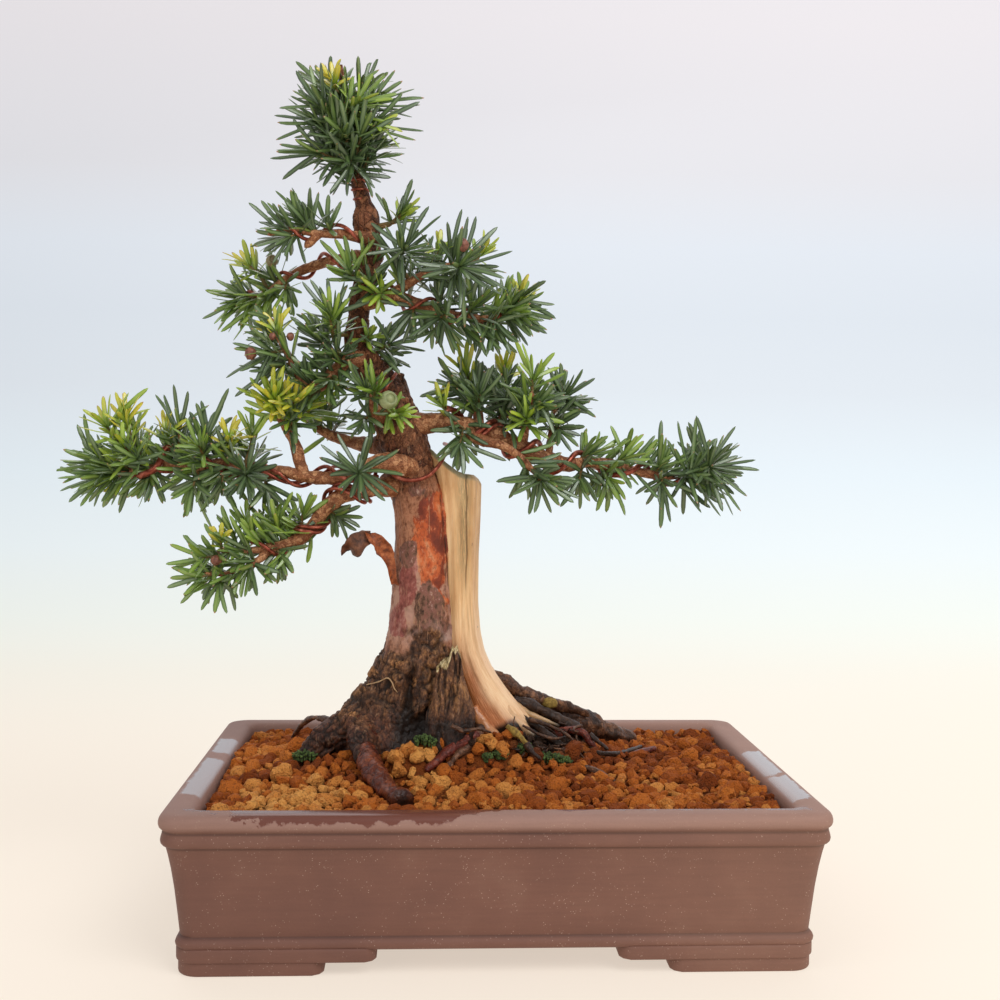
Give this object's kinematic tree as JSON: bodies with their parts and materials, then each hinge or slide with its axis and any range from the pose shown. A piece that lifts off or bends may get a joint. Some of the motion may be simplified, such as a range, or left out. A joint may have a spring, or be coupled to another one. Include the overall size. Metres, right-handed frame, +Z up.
{
  "type": "japanese yew bonsai in a pot",
  "caption": "Potted Japanese yew bonsai: wired branches with needle tufts on a tapering trunk with a bare wood stub, in a shallow footed rectangular clay pot of akadama soil.",
  "frame": {"origin": "under the middle of the whole object's width and depth, on the surface that the pot's feet stand on", "axes": "+Z up, +X along the pot's length to the viewer's right, +Y away from the viewer"},
  "size_m": [0.3698, 0.2198, 0.4335],
  "materials": {
    "pot_clay": "matt unglazed, slightly damp",
    "mesh_plastic": "matt",
    "clip_wire": "satin",
    "training_wire": "copper-brown anodised, satin",
    "akadama": "matt fired clay grains",
    "trunk_bark": "flaking bark",
    "branch_bark": "flaking bark",
    "root_bark": "damp bark",
    "bare_wood": "bare, weathered",
    "bark_strip": "dry peeled bark",
    "needles": "waxy leaf",
    "moss": "soft",
    "seed": "smooth"
  },
  "bodies": {
    "root": {"bark_curl": "bark_strip", "branch_left": "branch_bark", "branch_left_back": "branch_bark", "branch_lower_left": "branch_bark", "branch_mid_left": "branch_bark", "branch_right": "branch_bark", "branch_second_left": "branch_bark", "branch_top_front": "branch_bark", "branch_upper_left": "branch_bark", "branch_upper_right": "branch_bark", "deadwood": "bare_wood", "drain_mesh_left": "mesh_plastic", "drain_mesh_right": "mesh_plastic", "foliage_apex": "needles", "foliage_centre": "needles", "foliage_front": "needles", "foliage_leader": "needles", "foliage_leader_low": "needles", "foliage_left_light": "needles", "foliage_left_middle": "needles", "foliage_left_shoot": "needles", "foliage_left_tip": "needles", "foliage_lower_left": "needles", "foliage_right_low": "needles", "foliage_right_pad": "needles", "foliage_right_tip": "needles", "foliage_second_left": "needles", "foliage_top": "needles", "foliage_upper_left": "needles", "foliage_upper_right": "needles", "mesh_clip_left": "clip_wire", "mesh_clip_right": "clip_wire", "moss_left": "moss", "moss_middle": "moss", "moss_right": "moss", "pot": "pot_clay", "root_arch": "root_bark", "root_front": "root_bark", "root_front_dark": "root_bark", "root_front_red": "root_bark", "root_left_thin": "root_bark", "root_right": "root_bark", "seed_left": "seed", "seed_top": "seed", "soil": "akadama", "trunk": "trunk_bark", "wire_left_inner": "training_wire", "wire_left_outer": "training_wire", "wire_lower_left_inner": "training_wire", "wire_lower_left_outer": "training_wire", "wire_right_inner": "training_wire", "wire_right_outer": "training_wire", "wire_second_left": "training_wire", "wire_trunk": "training_wire", "wire_upper_left": "training_wire", "wire_upper_right": "training_wire"}
  },
  "joints": []
}
